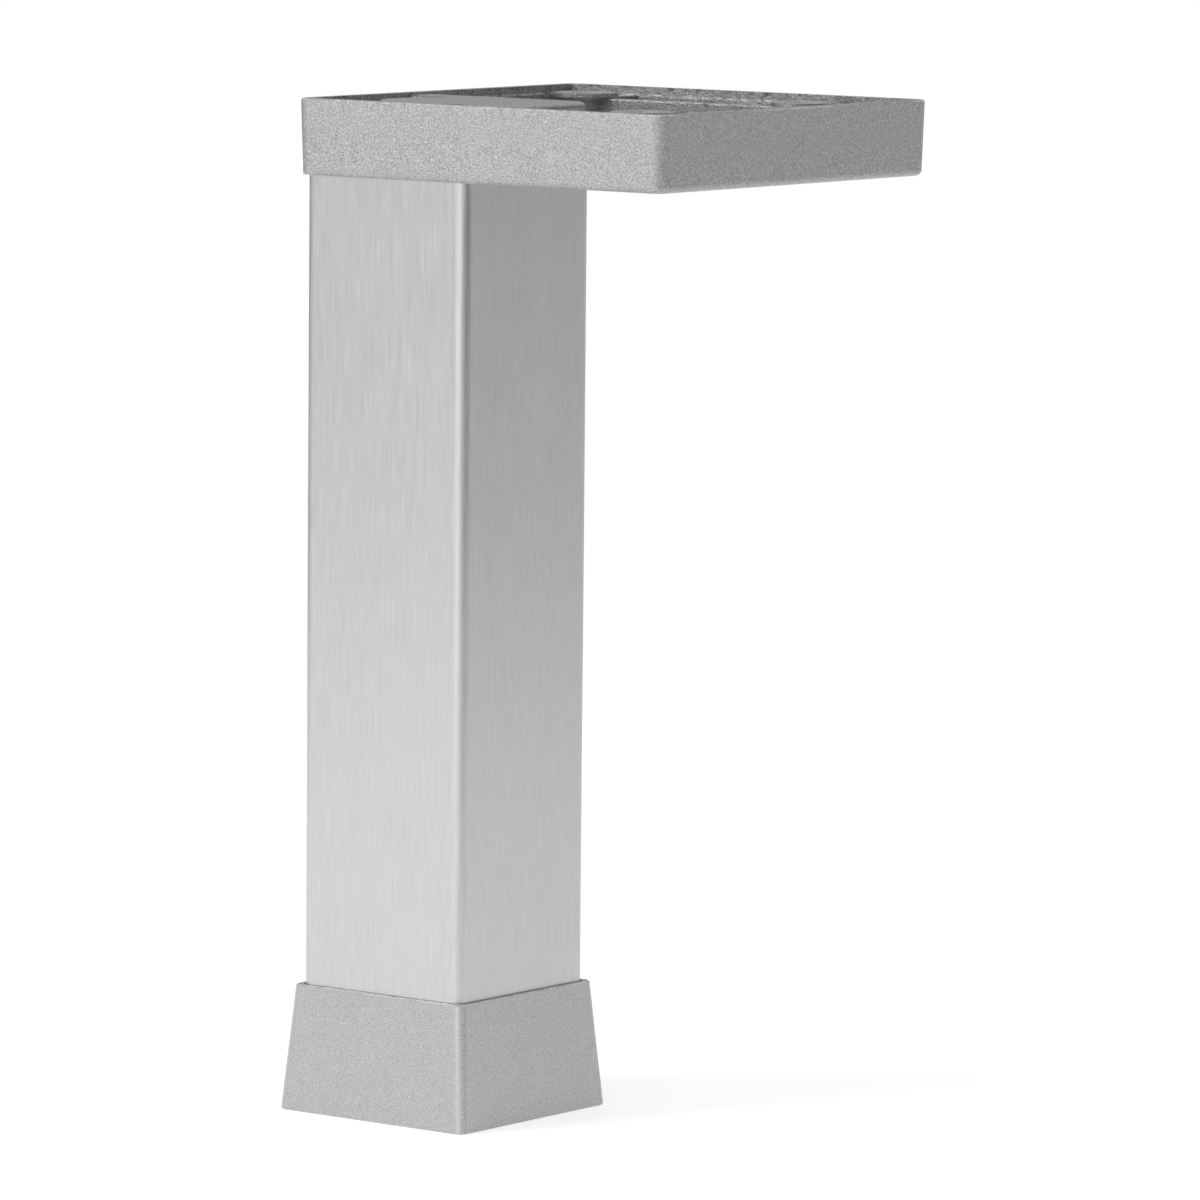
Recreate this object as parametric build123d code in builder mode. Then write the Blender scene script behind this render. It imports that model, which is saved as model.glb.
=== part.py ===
"""Square adjustable furniture leg with an offset mounting plate.

A brushed aluminium square tube stands in a flared foot and carries a die-cast tray plate whose
one corner sits over it. A threaded rod runs down the tube from the plate. It clamps the tube
between the plate and a plug with a nut, and its lower end carries the adjuster bush that winds
the foot down.

Origin: on the tube's axis, at the underside of the foot. +Z is up, and the plate reaches out
towards +X and +Y. Sizes are in millimetres. Threads are plain cylinders.
"""

from build123d import *
from math import atan2, degrees
import os

# Overall
LEG_HEIGHT = 200.0  # underside of the foot to the rim of the plate, foot wound right up
FOOT_TRAVEL = 12.0  # how far the foot winds down

# Square tube
TUBE_SIDE = 40.0
TUBE_WALL = 1.5
TUBE_CORNER = 2.3

# Mounting plate, a die-cast tray open at the top
PLATE_LENGTH = 90.0  # along X, at the rim
PLATE_WIDTH = 88.0  # along Y, at the rim
PLATE_HEIGHT = 15.0
PLATE_OVERHANG = 1.5  # of the rim past the tube's two outer faces
PLATE_DRAFT = 2.0  # degrees
PLATE_CORNER = 3.2
PLATE_UNDER_ROUND = 1.3
RIM_CHAMFER = 0.35
RIM_WALL = 2.5
TRAY_FLOOR = 2.5
TRAY_DRAFT = 1.0
TRAY_CORNER = 1.5

# Land inside the tray, over the tube
LAND_EDGE_X = 23.5  # from the tube's axis
LAND_EDGE_Y = 18.5
LAND_DROP = 0.5  # below the rim
LAND_CORNER = 8.0
LAND_ROUND = 0.8
DISC_DIAMETER = 27.0
MOAT_REACH = 11.0  # from the tube's axis, on the sides towards the plate's middle
CORE_DIAMETER = 23.5  # the ring-shaped core under the disc
CORE_ROOF = 3.0

# Wood screw bosses and the ribs between them
HOLE_INSET = 18.0  # from the plate's outer edges
BOSS_DIAMETER = 9.0
BOSS_LIP_DIAMETER = 13.0
BOSS_LIP = 0.8
BOSS_DROP = 0.6
SCREW_HOLE = 5.5
SCREW_MOUTH = 7.8
SCREW_SINK = 10.5
RIB_WALL = 2.0
RIB_DROP = 1.7

# Spigot and rod hub under the plate
SPIGOT_DEPTH = 16.0
SPIGOT_WALL = 2.5
FIT_CLEARANCE = 0.15  # each side, between the tube's bore and what sits in it
HUB_DIAMETER = 15.0
HUB_DEPTH = 8.0
ROD_ROOF = 4.5  # from the top of the rod's blind hole up to the rim

# Threaded rod with its washer and nut
ROD_DIAMETER = 8.0
ROD_CHAMFER = 0.8
ROD_END = 2.6  # above the floor
ROD_TOP_GAP = 1.0
THREAD_CLEARANCE = 0.05  # each side
WASHER_DIAMETER = 16.0
WASHER_THICKNESS = 1.6
WASHER_CLEARANCE = 0.2
NUT_FLATS = 13.0
NUT_HEIGHT = 6.5
NUT_CHAMFER = 0.6

# Bottom plug
PLUG_FLANGE = 1.5
PLUG_FLANGE_STEP = 0.3  # inside the tube's outer faces
PLUG_DEPTH = 27.0
PLUG_DECK = 4.0
PLUG_SHELL = 2.2
PLUG_POCKET = 24.0  # round pocket that clears the nut and the adjuster
PLUG_HUB_WALL = 2.0
PLUG_WEB = 2.0
PLUG_FOOT_GAP = 1.0

# Foot
FOOT_HEIGHT = 25.0
FOOT_TOP_SIDE = 42.5
FOOT_BASE_SIDE = 46.7
FOOT_CORNER = 2.0
FOOT_CHAMFER = 0.3
FOOT_RECESS_CORNER = 3.0
FOOT_CLEARANCE = 0.3  # each side, round the tube
FOOT_FLOOR = 4.5
FOOT_RECESS = 1.2
FOOT_BORDER = 4.0
FOOT_WEB = 2.1  # floor left round the adjuster's neck
CLIP_WELL = 20.0

# Adjuster bush and its retaining ring
NECK_DIAMETER = 13.0
NECK_CLEARANCE = 0.1
BUSH_LIFT = 0.5  # underside of the bush above the floor
BUSH_FLANGE_DIAMETER = 20.0
BUSH_FLANGE = 2.0
BUSH_DIAMETER = 14.0
BUSH_NUT_GAP = 1.4
BUSH_CHAMFER = 0.8
SLOT_WIDTH = 2.0
SLOT_DEPTH = 1.4
PLAY = 0.05  # up and down, at each running face
CLIP_THICKNESS = 0.7
CLIP_DIAMETER = 17.0
GROOVE_DEPTH = 1.0
CLIP_MOUTH = 6.0

# Places worked out from the sizes above
PLATE_UNDER = LEG_HEIGHT - PLATE_HEIGHT
TRAY_TOP = PLATE_UNDER + TRAY_FLOOR
PLATE_MIN = -TUBE_SIDE / 2 - PLATE_OVERHANG
PLATE_X = PLATE_MIN + PLATE_LENGTH / 2
PLATE_Y = PLATE_MIN + PLATE_WIDTH / 2
LAND_TOP = LEG_HEIGHT - LAND_DROP
MOAT_MIN = PLATE_MIN + RIM_WALL
CORE_TOP = LAND_TOP - CORE_ROOF
HOLE_LOW = PLATE_MIN + HOLE_INSET
HOLE_FAR_X = PLATE_MIN + PLATE_LENGTH - HOLE_INSET
HOLE_FAR_Y = PLATE_MIN + PLATE_WIDTH - HOLE_INSET
SCREW_HOLES = [(HOLE_FAR_X, HOLE_LOW), (HOLE_FAR_X, HOLE_FAR_Y), (HOLE_LOW, HOLE_FAR_Y)]
BOSS_TOP = LEG_HEIGHT - BOSS_DROP
RIB_TOP = LEG_HEIGHT - RIB_DROP
TUBE_BORE = TUBE_SIDE - 2 * TUBE_WALL
BORE_CORNER = max(TUBE_CORNER - TUBE_WALL, 0.0) + 0.5
FIT_SIDE = TUBE_BORE - 2 * FIT_CLEARANCE
FIT_CORNER = BORE_CORNER + 0.5
ROD_HOLE_TOP = LEG_HEIGHT - ROD_ROOF
ROD_HOLE = ROD_DIAMETER + 2 * THREAD_CLEARANCE
PLUG_UNDER = FOOT_FLOOR + PLUG_FOOT_GAP
TUBE_LOW = PLUG_UNDER + PLUG_FLANGE
PLUG_TOP = TUBE_LOW + PLUG_DEPTH
WASHER_TOP = PLUG_TOP - PLUG_DECK
NUT_TOP = WASHER_TOP - WASHER_THICKNESS
NUT_LOW = NUT_TOP - NUT_HEIGHT
BUSH_TOP = NUT_LOW - BUSH_NUT_GAP
BUSH_SEAT = FOOT_FLOOR + PLAY
WEB_LOW = FOOT_FLOOR - FOOT_WEB
CLIP_TOP = WEB_LOW - PLAY
CLIP_LOW = CLIP_TOP - CLIP_THICKNESS
GROOVE_DIAMETER = NECK_DIAMETER - 2 * GROOVE_DEPTH
FOOT_BORE = TUBE_SIDE + 2 * FOOT_CLEARANCE
FOOT_FLARE = degrees(atan2((FOOT_BASE_SIDE - FOOT_TOP_SIDE) / 2, FOOT_HEIGHT))

# The thread is still engaged with the foot wound right down
assert BUSH_TOP - FOOT_TRAVEL > ROD_END + ROD_DIAMETER / 2
assert FOOT_HEIGHT - FOOT_TRAVEL > TUBE_LOW


def write(part, name):
    """Labels a finished piece and writes its STEP file."""
    part.label = name
    export_step(part, f"parts/{name}.step")


os.makedirs("parts", exist_ok=True)

# Land over the tube, with the moat that leaves the round disc standing
with BuildPart() as land:
    with BuildSketch(Plane.XY.offset(PLATE_UNDER)):
        with Locations((LAND_EDGE_X, LAND_EDGE_Y)):
            Rectangle(
                LAND_EDGE_X - PLATE_MIN - RIM_WALL / 2,
                LAND_EDGE_Y - PLATE_MIN - RIM_WALL / 2,
                align=(Align.MAX, Align.MAX),
            )
    extrude(amount=LAND_TOP - PLATE_UNDER)
    far_corner = land.edges().filter_by(Axis.Z).sort_by(lambda e: e.center().X + e.center().Y)[-1]
    fillet(far_corner, LAND_CORNER)
    fillet(land.faces().sort_by(Axis.Z)[-1].edges(), LAND_ROUND)
    with BuildSketch(Plane.XY.offset(LAND_TOP)):
        with Locations((MOAT_REACH, MOAT_REACH)):
            Rectangle(
                MOAT_REACH - MOAT_MIN, MOAT_REACH - MOAT_MIN, align=(Align.MAX, Align.MAX)
            )
        Circle(DISC_DIAMETER / 2, mode=Mode.SUBTRACT)
        Rectangle(MOAT_REACH, MOAT_REACH, align=Align.MIN, mode=Mode.SUBTRACT)
    extrude(amount=TRAY_TOP - LAND_TOP, mode=Mode.SUBTRACT)

# Mounting plate
with BuildPart() as mounting_plate:
    # Tray with leaning outer walls
    with BuildSketch(Plane.XY.offset(LEG_HEIGHT)):
        with Locations((PLATE_X, PLATE_Y)):
            RectangleRounded(PLATE_LENGTH, PLATE_WIDTH, PLATE_CORNER)
    extrude(amount=-PLATE_HEIGHT, taper=PLATE_DRAFT)
    fillet(mounting_plate.faces().sort_by(Axis.Z)[0].edges(), PLATE_UNDER_ROUND)
    chamfer(mounting_plate.faces().sort_by(Axis.Z)[-1].edges(), RIM_CHAMFER)
    with BuildSketch(Plane.XY.offset(LEG_HEIGHT)):
        with Locations((PLATE_X, PLATE_Y)):
            RectangleRounded(PLATE_LENGTH - 2 * RIM_WALL, PLATE_WIDTH - 2 * RIM_WALL, TRAY_CORNER)
    extrude(amount=TRAY_TOP - LEG_HEIGHT, taper=TRAY_DRAFT, mode=Mode.SUBTRACT)
    add(land.part)

    # Screw bosses, each with a thin lip at the top
    with BuildSketch(Plane.XY.offset(PLATE_UNDER + TRAY_FLOOR / 2)):
        with Locations(*SCREW_HOLES):
            Circle(BOSS_DIAMETER / 2)
    extrude(amount=BOSS_TOP - PLATE_UNDER - TRAY_FLOOR / 2)
    with BuildSketch(Plane.XY.offset(BOSS_TOP - BOSS_LIP)):
        with Locations(*SCREW_HOLES):
            Circle(BOSS_LIP_DIAMETER / 2)
    extrude(amount=BOSS_LIP)

    # Ribs from boss to boss and on to the rim walls
    with BuildSketch(Plane.XY.offset(PLATE_UNDER + TRAY_FLOOR / 2)):
        with Locations(((HOLE_LOW + HOLE_FAR_X) / 2, HOLE_FAR_Y)):
            Rectangle(HOLE_FAR_X - HOLE_LOW, RIB_WALL)
        with Locations((HOLE_FAR_X, (HOLE_LOW + HOLE_FAR_Y) / 2)):
            Rectangle(RIB_WALL, HOLE_FAR_Y - HOLE_LOW)
        with Locations((HOLE_LOW, HOLE_FAR_Y)):
            Rectangle(RIB_WALL, HOLE_INSET - RIM_WALL / 2, align=(Align.CENTER, Align.MIN))
        with Locations((HOLE_FAR_X, HOLE_LOW)):
            Rectangle(HOLE_INSET - RIM_WALL / 2, RIB_WALL, align=(Align.MIN, Align.CENTER))
    extrude(amount=RIB_TOP - PLATE_UNDER - TRAY_FLOOR / 2)

    # Square spigot that fits the tube, and the hub that takes the rod
    with BuildSketch(Plane.XY.offset(PLATE_UNDER)):
        RectangleRounded(FIT_SIDE, FIT_SIDE, FIT_CORNER)
        Rectangle(FIT_SIDE - 2 * SPIGOT_WALL, FIT_SIDE - 2 * SPIGOT_WALL, mode=Mode.SUBTRACT)
    extrude(amount=-SPIGOT_DEPTH)
    with BuildSketch(Plane.XY.offset(PLATE_UNDER)):
        Circle(CORE_DIAMETER / 2)
    extrude(amount=CORE_TOP - PLATE_UNDER, mode=Mode.SUBTRACT)
    with BuildSketch(Plane.XY.offset(PLATE_UNDER - HUB_DEPTH)):
        Circle(HUB_DIAMETER / 2)
    extrude(amount=CORE_TOP + CORE_ROOF / 2 - PLATE_UNDER + HUB_DEPTH)
    with Locations((0, 0, PLATE_UNDER - HUB_DEPTH)):
        Cylinder(
            ROD_HOLE / 2,
            ROD_HOLE_TOP - PLATE_UNDER + HUB_DEPTH,
            align=(Align.CENTER, Align.CENTER, Align.MIN),
            mode=Mode.SUBTRACT,
        )

    # Screw holes, sunk from below for the heads and opened out at the top
    for x, y in SCREW_HOLES:
        with Locations((x, y, PLATE_UNDER)):
            Cylinder(
                SCREW_HOLE / 2,
                BOSS_TOP - PLATE_UNDER,
                align=(Align.CENTER, Align.CENTER, Align.MIN),
                mode=Mode.SUBTRACT,
            )
            Cone(
                SCREW_SINK / 2,
                SCREW_HOLE / 2,
                (SCREW_SINK - SCREW_HOLE) / 2,
                align=(Align.CENTER, Align.CENTER, Align.MIN),
                mode=Mode.SUBTRACT,
            )
        with Locations((x, y, BOSS_TOP)):
            Cone(
                SCREW_HOLE / 2,
                SCREW_MOUTH / 2,
                (SCREW_MOUTH - SCREW_HOLE) / 2,
                align=(Align.CENTER, Align.CENTER, Align.MAX),
                mode=Mode.SUBTRACT,
            )
write(mounting_plate.part, "mounting_plate")

# Square tube
with BuildPart() as leg_tube:
    with BuildSketch(Plane.XY.offset(TUBE_LOW)):
        RectangleRounded(TUBE_SIDE, TUBE_SIDE, TUBE_CORNER)
        RectangleRounded(TUBE_BORE, TUBE_BORE, BORE_CORNER, mode=Mode.SUBTRACT)
    extrude(amount=PLATE_UNDER - TUBE_LOW)
write(leg_tube.part, "leg_tube")

# Threaded rod
with BuildPart() as threaded_rod:
    with BuildSketch(Plane.XY.offset(ROD_END)):
        Circle(ROD_DIAMETER / 2)
    extrude(amount=ROD_HOLE_TOP - ROD_TOP_GAP - ROD_END)
    chamfer(threaded_rod.edges().filter_by(GeomType.CIRCLE), ROD_CHAMFER)
write(threaded_rod.part, "threaded_rod")

# Bottom plug, open at the top round its hub
with BuildPart() as tube_plug:
    with BuildSketch(Plane.XY.offset(PLUG_UNDER)):
        RectangleRounded(
            TUBE_SIDE - 2 * PLUG_FLANGE_STEP, TUBE_SIDE - 2 * PLUG_FLANGE_STEP, TUBE_CORNER
        )
    extrude(amount=PLUG_FLANGE)
    with BuildSketch(Plane.XY.offset(TUBE_LOW)):
        RectangleRounded(FIT_SIDE, FIT_SIDE, FIT_CORNER)
    extrude(amount=PLUG_DEPTH)
    with BuildSketch(Plane.XY.offset(PLUG_TOP)):
        Rectangle(FIT_SIDE - 2 * PLUG_SHELL, FIT_SIDE - 2 * PLUG_SHELL)
        Circle(PLUG_POCKET / 2 + PLUG_HUB_WALL, mode=Mode.SUBTRACT)
        Rectangle(FIT_SIDE, PLUG_WEB, mode=Mode.SUBTRACT)
        Rectangle(PLUG_WEB, FIT_SIDE, mode=Mode.SUBTRACT)
    extrude(amount=-PLUG_DEPTH, mode=Mode.SUBTRACT)
    with BuildSketch(Plane.XY.offset(PLUG_UNDER)):
        Circle(PLUG_POCKET / 2)
    extrude(amount=WASHER_TOP - PLUG_UNDER, mode=Mode.SUBTRACT)
    with BuildSketch(Plane.XY.offset(WASHER_TOP)):
        Circle(ROD_DIAMETER / 2 + WASHER_CLEARANCE)
    extrude(amount=PLUG_DECK, mode=Mode.SUBTRACT)
write(tube_plug.part, "tube_plug")

# Washer and nut that clamp the plug up into the tube
with BuildPart() as plug_washer:
    with BuildSketch(Plane.XY.offset(NUT_TOP)):
        Circle(WASHER_DIAMETER / 2)
        Circle(ROD_DIAMETER / 2 + WASHER_CLEARANCE, mode=Mode.SUBTRACT)
    extrude(amount=WASHER_THICKNESS)
write(plug_washer.part, "plug_washer")

with BuildPart() as plug_nut:
    with BuildSketch(Plane.XY.offset(NUT_LOW)):
        RegularPolygon(NUT_FLATS / 2, 6, major_radius=False)
    extrude(amount=NUT_HEIGHT)
    with BuildSketch(Plane.XY.offset(NUT_LOW)):
        Circle(ROD_HOLE / 2)
    extrude(amount=NUT_HEIGHT, mode=Mode.SUBTRACT)
    chamfer(plug_nut.edges().filter_by(GeomType.CIRCLE), NUT_CHAMFER)
write(plug_nut.part, "plug_nut")

# Flared foot
with BuildPart() as foot:
    with BuildSketch():
        Rectangle(FOOT_BASE_SIDE, FOOT_BASE_SIDE)
    extrude(amount=FOOT_HEIGHT, taper=FOOT_FLARE)
    corners = foot.edges().filter_by_position(Axis.Z, FOOT_HEIGHT * 0.4, FOOT_HEIGHT * 0.6)
    fillet(corners, FOOT_CORNER)
    chamfer(foot.faces().sort_by(Axis.Z)[-1].edges(), FOOT_CHAMFER)
    chamfer(foot.faces().sort_by(Axis.Z)[0].edges(), FOOT_CHAMFER)
    with BuildSketch(Plane.XY.offset(FOOT_FLOOR)):
        RectangleRounded(FOOT_BORE, FOOT_BORE, TUBE_CORNER + FOOT_CLEARANCE)
    extrude(amount=FOOT_HEIGHT - FOOT_FLOOR, mode=Mode.SUBTRACT)
    with BuildSketch():
        RectangleRounded(
            FOOT_BASE_SIDE - 2 * FOOT_BORDER, FOOT_BASE_SIDE - 2 * FOOT_BORDER, FOOT_RECESS_CORNER
        )
    extrude(amount=FOOT_RECESS, mode=Mode.SUBTRACT)
    with BuildSketch():
        Circle(CLIP_WELL / 2)
    extrude(amount=WEB_LOW, mode=Mode.SUBTRACT)
    with BuildSketch():
        Circle(NECK_DIAMETER / 2 + NECK_CLEARANCE)
    extrude(amount=FOOT_FLOOR, mode=Mode.SUBTRACT)
write(foot.part, "foot")

# Adjuster bush, turned from below with a wide screwdriver
with BuildPart() as adjuster_bush:
    with BuildSketch(Plane.XY.offset(BUSH_LIFT)):
        Circle(NECK_DIAMETER / 2)
    extrude(amount=BUSH_SEAT - BUSH_LIFT)
    with BuildSketch(Plane.XY.offset(BUSH_SEAT)):
        Circle(BUSH_FLANGE_DIAMETER / 2)
    extrude(amount=BUSH_FLANGE)
    with BuildSketch(Plane.XY.offset(BUSH_SEAT + BUSH_FLANGE)):
        Circle(BUSH_DIAMETER / 2)
    extrude(amount=BUSH_TOP - BUSH_SEAT - BUSH_FLANGE)
    chamfer(adjuster_bush.faces().sort_by(Axis.Z)[-1].edges(), BUSH_CHAMFER)
    with BuildSketch(Plane.XY.offset(BUSH_LIFT)):
        Circle(ROD_HOLE / 2)
    extrude(amount=BUSH_TOP - BUSH_LIFT, mode=Mode.SUBTRACT)
    with BuildSketch(Plane.XY.offset(CLIP_LOW - PLAY)):
        Circle(NECK_DIAMETER / 2)
        Circle(GROOVE_DIAMETER / 2, mode=Mode.SUBTRACT)
    extrude(amount=CLIP_THICKNESS + 2 * PLAY, mode=Mode.SUBTRACT)
    with BuildSketch(Plane.XY.offset(BUSH_LIFT)):
        Rectangle(NECK_DIAMETER, SLOT_WIDTH)
    extrude(amount=SLOT_DEPTH, mode=Mode.SUBTRACT)
write(adjuster_bush.part, "adjuster_bush")

# Retaining ring, open at its mouth
with BuildPart() as retaining_ring:
    with BuildSketch(Plane.XY.offset(CLIP_LOW)):
        Circle(CLIP_DIAMETER / 2)
        Circle(GROOVE_DIAMETER / 2 + PLAY, mode=Mode.SUBTRACT)
        with Locations((CLIP_DIAMETER / 2, 0)):
            Rectangle(CLIP_DIAMETER, CLIP_MOUTH, mode=Mode.SUBTRACT)
    extrude(amount=CLIP_THICKNESS)
write(retaining_ring.part, "retaining_ring")
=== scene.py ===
"""Looks, light and camera for the square furniture leg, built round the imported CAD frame.

Lengths are in metres. The leg stands on the floor at z = 0 with its tube on the Z axis.
"""

import math

import bpy
from mathutils import Matrix, Vector

MM = 0.001
WHITE = (1.0, 1.0, 1.0, 1.0)

# Camera, as a plain pinhole
IMAGE_PIXELS = 1200
FOCAL_PIXELS = 8033.0
SENSOR_WIDTH = 36.0
CAMERA_PLACE = Vector((0.98177, -1.22990, 0.27866))
CAMERA_YAW = math.radians(37.492)
CAMERA_PITCH = math.radians(6.428)
CAMERA_ROLL = math.radians(0.507)
CLIP_NEAR, CLIP_FAR = 0.05, 20.0

# Places in the part that the paint and its wear follow
RIM_TOP = 200.0 * MM
TRAY_LOW = -19.2 * MM  # the rim's inner faces, on X and on Y
TRAY_HIGH_X = 66.2 * MM
TRAY_HIGH_Y = 64.2 * MM
TRAY_DEPTH_LOW, TRAY_DEPTH_HIGH = 0.05 * MM, 12.6 * MM
LEDGE_DEPTH_LOW, LEDGE_DEPTH_HIGH = 1.5 * MM, 1.85 * MM  # tops of the ribs and the land
FOOT_TOP = 25.0 * MM

# Silver paint: its tone, its grain and how smooth it is at the smoothest
PLATE_PAINT = {
    "level": 0.485, "grain_size": 0.35 * MM, "contrast": 0.17, "relief": 0.15 * MM, "smooth": 0.22,
}
FOOT_PAINT = {
    "level": 0.575, "grain_size": 0.27 * MM, "contrast": 0.12, "relief": 0.04 * MM, "smooth": 0.18,
}
FLAKES_PER_GRAIN = 2.4
SWELLS_PER_GRAIN = 0.35
FLAKE_SHARE = 0.6  # of the grain's contrast
CLOUD_TONE = 0.006
PAINT_ROUGHNESS_RANGE = 0.14
PLATE_METALLIC = 0.66
FOOT_METALLIC = 0.75

# Wear, and painted highlights on the rubbed edges and the foot's corners
LEDGE_RUB_HIGHLIGHT_TONE = 0.85
RIM_EDGE_HIGHLIGHT_TONE = 0.72
FOOT_EDGE_HIGHLIGHT_TONE = 0.74
FOOT_CORNER_HIGHLIGHT_TONE = 0.85
CHIP_TONE = 0.12
CHIP_REACH_OUTSIDE = 0.55 * MM
CHIP_REACH_INSIDE = 2.6 * MM
SCRATCH_TONE = 0.2
SCRATCH_Y = 22.5 * MM
SCRATCH_Z = 192.6 * MM
SCRATCH_COS = math.cos(math.radians(30))
SCRATCH_SIN = math.sin(math.radians(30))
SCRATCH_HALF_LENGTH = 1.9 * MM
SCRATCH_HALF_WIDTH = 0.03 * MM
SCRATCH_SIDE_X = 67.0 * MM  # only the plate's +X side lies beyond it

# Rod and hardware
THREAD_PITCH = 1.25 * MM
THREAD_RELIEF = 0.35 * MM
TURNED_RELIEF = 0.02 * MM

# Floor
FLOOR_RADIUS = 0.75
FLOOR_SEGMENTS = 96
FLOOR_COLOUR = (0.86, 0.86, 0.86, 1.0)
FLOOR_GLOW = 0.50  # added for the camera, which makes the bare floor white
FLOOR_SHINE = 0.27  # added in reflections
FLOOR_SPILL = 0.25  # added as light on the leg

# Brightness round the horizon, from +X turning towards +Y, as (share of a turn, level)
HORIZON = [
    (0.0, 0.05), (0.05, 0.14), (0.143, 0.455), (0.25, 0.60), (0.354, 0.05), (0.5, 0.32),
    (0.64, 0.56), (0.74, 1.10), (0.80, 1.15), (0.87, 0.45), (0.94, 0.06), (1.0, 0.05),
]
OVERHEAD = 0.60
OVERHEAD_FROM = 0.40  # height on the unit sphere

# Lamp
KEY_PLACE = (-0.75, -1.1, 1.0)
KEY_TARGET = (0.0, 0.0, 0.1)
KEY_SIZE = 0.7
KEY_POWER = 9.6

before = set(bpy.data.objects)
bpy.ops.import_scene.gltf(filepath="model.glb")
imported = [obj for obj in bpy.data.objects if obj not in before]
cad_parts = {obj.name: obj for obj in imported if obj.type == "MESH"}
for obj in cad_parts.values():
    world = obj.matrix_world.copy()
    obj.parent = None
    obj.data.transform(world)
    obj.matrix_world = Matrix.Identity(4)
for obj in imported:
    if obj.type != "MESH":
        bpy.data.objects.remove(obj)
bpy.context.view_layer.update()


class Nodes:
    """A material's or a world's node tree, with short calls for what this scene uses."""

    def __init__(self, owner):
        owner.use_nodes = True
        self.tree = owner.node_tree
        self.tree.nodes.clear()

    def add(self, kind, **settings):
        node = self.tree.nodes.new(kind)
        for name, value in settings.items():
            setattr(node, name, value)
        return node

    def join(self, out, into):
        self.tree.links.new(out, into)

    def put(self, socket, value):
        """Sets a socket to a number, or joins it to another node's output."""
        if isinstance(value, bpy.types.NodeSocket):
            self.join(value, socket)
        else:
            socket.default_value = value

    def math(self, operation, a, b=0.0, clamp=False):
        node = self.add("ShaderNodeMath", operation=operation, use_clamp=clamp)
        self.put(node.inputs[0], a)
        self.put(node.inputs[1], b)
        return node.outputs[0]

    def times(self, first, *factors):
        for factor in factors:
            first = self.math("MULTIPLY", first, factor)
        return first

    def plus(self, first, *terms):
        for term in terms:
            first = self.math("ADD", first, term)
        return first

    def minus(self, a, b):
        return self.math("SUBTRACT", a, b)

    def place(self):
        """The point's own place in the part, in metres."""
        return self.add("ShaderNodeTexCoord").outputs["Object"]

    def parts(self, vector):
        """The vector's X, Y and Z."""
        node = self.add("ShaderNodeSeparateXYZ")
        self.join(vector, node.inputs[0])
        return node.outputs

    def scaled(self, vector, scale):
        node = self.add("ShaderNodeVectorMath", operation="MULTIPLY")
        self.join(vector, node.inputs[0])
        node.inputs[1].default_value = scale
        return node.outputs[0]

    def noise(self, vector, scale, detail=2.0, roughness=0.5):
        """Noise about 0.5, with scale the number of lumps in a metre."""
        node = self.add("ShaderNodeTexNoise")
        self.join(vector, node.inputs["Vector"])
        node.inputs["Scale"].default_value = scale
        node.inputs["Detail"].default_value = detail
        node.inputs["Roughness"].default_value = roughness
        return node.outputs["Fac"]

    def ranged(self, value, low, high, to_low, to_high):
        """Maps low to high on to another range, and stays inside that."""
        node = self.add("ShaderNodeMapRange")
        self.put(node.inputs["Value"], value)
        for name, number in (
            ("From Min", low), ("From Max", high), ("To Min", to_low), ("To Max", to_high)
        ):
            node.inputs[name].default_value = number
        return node.outputs["Result"]

    def spread(self, noise, to_low, to_high):
        """Maps most of a noise's swing on to another range."""
        return self.ranged(noise, 0.3, 0.7, to_low, to_high)

    def grey(self, value):
        node = self.add("ShaderNodeCombineColor")
        for socket in node.inputs:
            self.join(value, socket)
        return node.outputs[0]

    def mix(self, share, a, b):
        node = self.add("ShaderNodeMix", data_type="FLOAT")
        self.put(node.inputs["Factor"], share)
        self.put(node.inputs["A"], a)
        self.put(node.inputs["B"], b)
        return node.outputs["Result"]

    def bump(self, height, distance):
        node = self.add("ShaderNodeBump")
        node.inputs["Strength"].default_value = 1.0
        node.inputs["Distance"].default_value = distance
        self.join(height, node.inputs["Height"])
        return node.outputs["Normal"]

    def surface(self, colour, roughness, metallic, normal):
        shader = self.add("ShaderNodeBsdfPrincipled")
        self.put(shader.inputs["Base Color"], colour)
        self.put(shader.inputs["Roughness"], roughness)
        shader.inputs["Metallic"].default_value = metallic
        self.join(normal, shader.inputs["Normal"])
        output = self.add("ShaderNodeOutputMaterial")
        self.join(shader.outputs["BSDF"], output.inputs["Surface"])


def silver_paint(n, place, level, grain_size, contrast, relief, smooth):
    """Tone, normal and roughness of metallic silver paint that follows a casting's grain."""
    grain = n.noise(place, 1 / grain_size, 3.0, 0.65)
    flake = n.noise(place, FLAKES_PER_GRAIN / grain_size, 1.0)
    swell = n.noise(place, SWELLS_PER_GRAIN / grain_size, 2.0)
    cloud = n.noise(place, 90.0, 2.0)
    tone = n.plus(
        n.spread(grain, level - contrast, level + contrast),
        n.spread(flake, -FLAKE_SHARE * contrast, FLAKE_SHARE * contrast),
        n.spread(cloud, -CLOUD_TONE, CLOUD_TONE),
    )
    height = n.plus(grain, n.times(flake, 0.4), n.times(swell, 0.25))
    roughness = n.spread(grain, smooth, smooth + PAINT_ROUGHNESS_RANGE)
    return tone, n.bump(height, relief), roughness


def within(n, value, low, high, soft):
    """1 between the two limits, fading to 0 over a soft width outside each."""
    above = n.ranged(value, low - soft, low, 0.0, 1.0)
    below = n.ranged(value, high, high + soft, 1.0, 0.0)
    return n.times(above, below)


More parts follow.
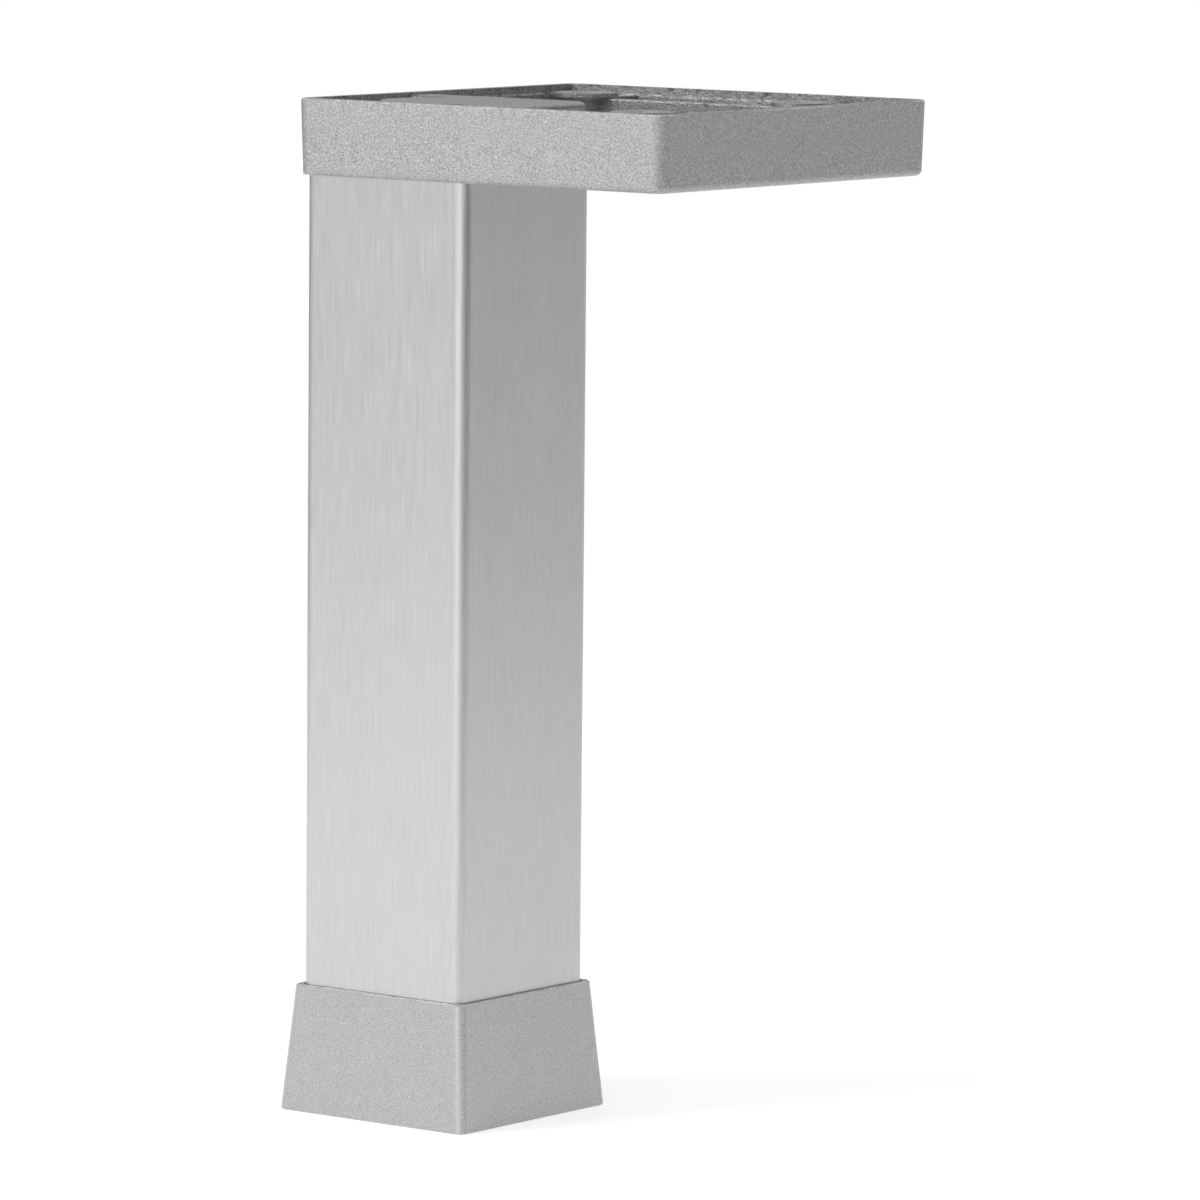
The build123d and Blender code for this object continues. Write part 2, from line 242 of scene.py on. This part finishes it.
def plate_paint(name):
    """Coarse silver paint, chipped dark at the rim, stained and darkened by painted shade on the
    walls inside the tray, with rubbed edges that carry painted highlights.
    """
    material = bpy.data.materials.new(name)
    n = Nodes(material)
    place = n.place()
    tone, normal, roughness = silver_paint(n, place, **PLATE_PAINT)
    x, y, z = n.parts(place)
    depth = n.minus(RIM_TOP, z)
    facing_up = n.parts(n.add("ShaderNodeNewGeometry").outputs["True Normal"])["Z"]

    # Inside the tray the walls have random patches and stains, and painted shade that grows darker
    # the deeper they lie
    inside = n.times(
        within(n, x, TRAY_LOW, TRAY_HIGH_X, 0.3 * MM),
        within(n, y, TRAY_LOW, TRAY_HIGH_Y, 0.3 * MM),
        within(n, depth, TRAY_DEPTH_LOW, TRAY_DEPTH_HIGH, 0.1 * MM),
    )
    walls = n.times(n.ranged(facing_up, 0.3, 0.8, 1.0, 0.0), inside)
    patches = n.ranged(n.noise(place, 380.0, 4.0, 0.7), 0.35, 0.65, 0.70, 1.0)
    stains = n.ranged(n.noise(place, 190.0, 5.0, 0.75), 0.54, 0.60, 1.0, 0.62)
    # Painted shade: the tray's walls are darkened more the deeper they lie below the rim
    depth_shade = n.ranged(depth, 0.0, 10.0 * MM, 0.92, 0.6)
    tone = n.times(tone, n.mix(walls, 1.0, n.times(patches, stains, depth_shade)))

    # The ribs' and the land's top edges are rubbed bright, partly a painted highlight
    rubbed_ledge_highlight = n.times(
        within(n, depth, LEDGE_DEPTH_LOW, LEDGE_DEPTH_HIGH, 0.15 * MM),
        inside,
        n.ranged(n.noise(place, 500.0, 2.0), 0.4, 0.55, 0.2, 1.0),
    )
    tone = n.mix(n.times(rubbed_ledge_highlight, 0.7), tone, LEDGE_RUB_HIGHLIGHT_TONE)

    # The rim's outer edge is rubbed light in broken lengths, partly a painted highlight
    rubbed_edge_highlight = n.times(
        within(n, facing_up, 0.6, 0.8, 0.05),
        n.minus(1.0, inside),
        n.ranged(n.noise(place, 600.0, 3.0, 0.6), 0.42, 0.52, 0.0, 1.0),
    )
    tone = n.mix(n.times(rubbed_edge_highlight, 0.75), tone, RIM_EDGE_HIGHLIGHT_TONE)

    # Chips, a thin line of specks outside and deeper patches inside
    reach = n.mix(walls, CHIP_REACH_OUTSIDE, CHIP_REACH_INSIDE)
    close = n.math("SUBTRACT", 1.0, n.math("DIVIDE", depth, reach), clamp=True)
    chips = n.noise(n.scaled(place, (1.0, 1.0, 1.6)), 420.0, 4.0, 0.7)
    limit = n.mix(close, 0.75, n.mix(walls, 0.60, 0.54))
    chipped = n.times(
        n.ranged(n.minus(chips, limit), 0.0, 0.03, 0.0, 1.0),
        n.math("GREATER_THAN", close, 0.01),
    )
    tone = n.mix(chipped, tone, CHIP_TONE)

    # One short scratch on the +X side
    aside = n.minus(y, SCRATCH_Y)
    above = n.minus(z, SCRATCH_Z)
    along = n.plus(n.times(aside, SCRATCH_COS), n.times(above, SCRATCH_SIN))
    across = n.minus(n.times(above, SCRATCH_COS), n.times(aside, SCRATCH_SIN))
    scratch = n.times(
        within(n, along, -SCRATCH_HALF_LENGTH, SCRATCH_HALF_LENGTH, 0.4 * MM),
        within(n, across, -SCRATCH_HALF_WIDTH, SCRATCH_HALF_WIDTH, 0.1 * MM),
        n.math("GREATER_THAN", x, SCRATCH_SIDE_X),
    )
    tone = n.mix(n.times(scratch, 0.6), tone, SCRATCH_TONE)
    n.surface(n.grey(tone), roughness, PLATE_METALLIC, normal)
    return material


def foot_paint(name):
    """Finer silver paint, rubbed light along the foot's top edge with a painted highlight there,
    and with painted highlights down its corners.
    """
    material = bpy.data.materials.new(name)
    n = Nodes(material)
    place = n.place()
    tone, normal, roughness = silver_paint(n, place, **FOOT_PAINT)

    # The top edge is rubbed light in broken lengths, partly a painted highlight
    height = n.parts(place)["Z"]
    rubbed_edge_highlight = n.ranged(height, FOOT_TOP - 0.35 * MM, FOOT_TOP - 0.2 * MM, 0.0, 1.0)
    broken = n.ranged(n.noise(place, 450.0, 3.0), 0.38, 0.5, 0.0, 1.0)
    tone = n.mix(n.times(rubbed_edge_highlight, n.times(broken, 0.8)), tone, FOOT_EDGE_HIGHLIGHT_TONE)

    # The four rounded corners are painted a little lighter, a painted highlight
    facing = n.parts(n.add("ShaderNodeNewGeometry").outputs["Normal"])
    between = n.times(facing["X"], facing["Y"])
    corner_highlight = n.ranged(n.math("ABSOLUTE", between), 0.25, 0.45, 0.0, 0.5)
    tone = n.mix(corner_highlight, tone, FOOT_CORNER_HIGHLIGHT_TONE)
    n.surface(n.grey(tone), roughness, FOOT_METALLIC, normal)
    return material


def brushed_aluminium(name):
    """Anodised aluminium brushed along the tube, with a few fine rub marks."""
    material = bpy.data.materials.new(name)
    n = Nodes(material)
    place = n.place()
    hairs = n.noise(n.scaled(place, (1.0, 1.0, 0.03)), 3200.0, 3.0, 0.7)
    strokes = n.noise(n.scaled(place, (1.0, 1.0, 0.05)), 900.0, 3.0, 0.6)
    bands = n.noise(n.scaled(place, (1.0, 1.0, 0.05)), 110.0, 2.0)
    rubs = n.noise(n.scaled(place, (1.0, 1.0, 0.6)), 260.0, 5.0, 0.7)
    tone = n.plus(
        n.spread(hairs, 0.64, 0.75),
        n.spread(strokes, -0.010, 0.010),
        n.spread(bands, -0.008, 0.008),
    )
    tone = n.minus(tone, n.ranged(rubs, 0.69, 0.74, 0.0, 0.12))
    roughness = n.plus(n.spread(strokes, 0.32, 0.36), n.spread(hairs, -0.03, 0.03))
    height = n.plus(hairs, n.times(strokes, 0.2))
    n.surface(n.grey(tone), roughness, 0.9, n.bump(height, 0.012 * MM))
    return material


def zinc_plated_steel(name, threaded):
    """Zinc-plated steel, turned or threaded round the Z axis."""
    material = bpy.data.materials.new(name)
    n = Nodes(material)
    place = n.place()
    blotch = n.noise(place, 420.0, 3.0)
    if threaded:
        axes = n.parts(place)
        angle = n.math("ARCTAN2", axes["Y"], axes["X"])
        turns = n.minus(n.times(axes["Z"], 2 * math.pi / THREAD_PITCH), angle)
        normal = n.bump(n.math("SINE", turns), THREAD_RELIEF)
    else:
        rings = n.noise(n.scaled(place, (0.2, 0.2, 1.0)), 3200.0, 2.0)
        normal = n.bump(rings, TURNED_RELIEF)
    tone = n.spread(blotch, 0.48, 0.6)
    n.surface(n.grey(tone), n.spread(blotch, 0.28, 0.4), 1.0, normal)
    return material


def moulded_plastic(name):
    """Black moulded plastic with a fine sparked texture."""
    material = bpy.data.materials.new(name)
    n = Nodes(material)
    place = n.place()
    grain = n.noise(place, 2400.0, 2.0)
    tone = n.spread(n.noise(place, 120.0, 2.0), 0.028, 0.042)
    n.surface(n.grey(tone), n.spread(grain, 0.5, 0.62), 0.0, n.bump(grain, 0.03 * MM))
    return material


def dress(names, material):
    """Gives each named CAD node that material."""
    for name in names:
        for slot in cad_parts[name].material_slots:
            slot.material = material


def seen_directly(n, path):
    """1 where the camera sees the thing, straight or through glass, and 0 where it only lights."""
    return n.math("MAXIMUM", path.outputs["Is Camera Ray"], path.outputs["Is Transmission Ray"])


def make_floor():
    """A pale round floor that shows white to the camera and keeps the leg's shadow."""
    mesh = bpy.data.meshes.new("floor")
    ring = [
        (
            FLOOR_RADIUS * math.cos(2 * math.pi * i / FLOOR_SEGMENTS),
            FLOOR_RADIUS * math.sin(2 * math.pi * i / FLOOR_SEGMENTS),
            0.0,
        )
        for i in range(FLOOR_SEGMENTS)
    ]
    mesh.from_pydata(ring, [], [tuple(range(FLOOR_SEGMENTS))])
    floor = bpy.data.objects.new("floor", mesh)
    bpy.context.scene.collection.objects.link(floor)
    material = bpy.data.materials.new("floor_white")
    n = Nodes(material)
    diffuse = n.add("ShaderNodeBsdfDiffuse")
    diffuse.inputs["Color"].default_value = FLOOR_COLOUR
    glow = n.add("ShaderNodeEmission")
    glow.inputs["Color"].default_value = WHITE
    path = n.add("ShaderNodeLightPath")
    unseen = n.mix(path.outputs["Is Glossy Ray"], FLOOR_SPILL, FLOOR_SHINE)
    n.join(n.mix(seen_directly(n, path), unseen, FLOOR_GLOW), glow.inputs["Strength"])
    both = n.add("ShaderNodeAddShader")
    n.join(diffuse.outputs[0], both.inputs[0])
    n.join(glow.outputs[0], both.inputs[1])
    output = n.add("ShaderNodeOutputMaterial")
    n.join(both.outputs[0], output.inputs["Surface"])
    mesh.materials.append(material)


def make_world():
    """A studio whose brightness changes round the horizon, white where the camera sees it."""
    world = bpy.data.worlds.new("studio")
    bpy.context.scene.world = world
    n = Nodes(world)
    axes = n.parts(n.add("ShaderNodeTexCoord").outputs["Generated"])
    angle = n.math("ARCTAN2", axes["Y"], axes["X"])
    turn = n.math("FRACT", n.plus(n.math("DIVIDE", angle, 2 * math.pi), 1.0))
    ramp = n.add("ShaderNodeValToRGB")
    ramp.color_ramp.interpolation = "EASE"
    stops = ramp.color_ramp.elements
    while len(stops) < len(HORIZON):
        stops.new(0.5)
    for stop, (share, level) in zip(stops, HORIZON):
        stop.position = share
        stop.color = (level, level, level, 1.0)
    n.join(turn, ramp.inputs["Fac"])
    level = n.add("ShaderNodeSeparateColor")
    n.join(ramp.outputs["Color"], level.inputs[0])
    height = n.ranged(axes["Z"], 0.0, OVERHEAD_FROM, 0.0, 1.0)
    light = n.mix(height, level.outputs[0], OVERHEAD)
    strength = n.mix(seen_directly(n, n.add("ShaderNodeLightPath")), light, 1.0)
    background = n.add("ShaderNodeBackground")
    background.inputs["Color"].default_value = WHITE
    n.join(strength, background.inputs["Strength"])
    output = n.add("ShaderNodeOutputWorld")
    n.join(background.outputs[0], output.inputs["Surface"])


def make_lamp(name, place, target, size, power):
    """A square soft lamp."""
    lamp = bpy.data.lights.new(name, "AREA")
    lamp.shape = "SQUARE"
    lamp.size = size
    lamp.energy = power
    thing = bpy.data.objects.new(name, lamp)
    thing.location = place
    thing.rotation_mode = "QUATERNION"
    thing.rotation_quaternion = (Vector(target) - Vector(place)).to_track_quat("-Z", "Y")
    bpy.context.scene.collection.objects.link(thing)


def make_camera():
    """The pinhole camera at the photograph's place, with no lens shift."""
    sin_yaw, cos_yaw = math.sin(CAMERA_YAW), math.cos(CAMERA_YAW)
    sin_pitch, cos_pitch = math.sin(CAMERA_PITCH), math.cos(CAMERA_PITCH)
    ahead = Vector((-sin_yaw * cos_pitch, cos_yaw * cos_pitch, -sin_pitch))
    level_right = Vector((cos_yaw, sin_yaw, 0.0))
    level_up = level_right.cross(ahead)
    right = math.cos(CAMERA_ROLL) * level_right + math.sin(CAMERA_ROLL) * level_up
    up = math.cos(CAMERA_ROLL) * level_up - math.sin(CAMERA_ROLL) * level_right
    data = bpy.data.cameras.new("camera")
    data.sensor_width = SENSOR_WIDTH
    data.lens = FOCAL_PIXELS / IMAGE_PIXELS * SENSOR_WIDTH
    data.clip_start, data.clip_end = CLIP_NEAR, CLIP_FAR
    camera = bpy.data.objects.new("camera", data)
    turned = Matrix((right, up, -ahead)).transposed().to_4x4()
    camera.matrix_world = Matrix.Translation(CAMERA_PLACE) @ turned
    bpy.context.scene.collection.objects.link(camera)
    bpy.context.scene.camera = camera


dress(["mounting_plate"], plate_paint("plate_silver_paint"))
dress(["foot"], foot_paint("foot_silver_paint"))
dress(["leg_tube"], brushed_aluminium("tube_brushed_aluminium"))
dress(["threaded_rod"], zinc_plated_steel("rod_steel", threaded=True))
dress(
    ["plug_washer", "plug_nut", "adjuster_bush", "retaining_ring"],
    zinc_plated_steel("hardware_steel", threaded=False),
)
dress(["tube_plug"], moulded_plastic("plug_black_plastic"))
make_floor()
make_world()
make_lamp("key", KEY_PLACE, KEY_TARGET, KEY_SIZE, KEY_POWER)
make_camera()
bpy.context.scene.view_settings.view_transform = "Standard"
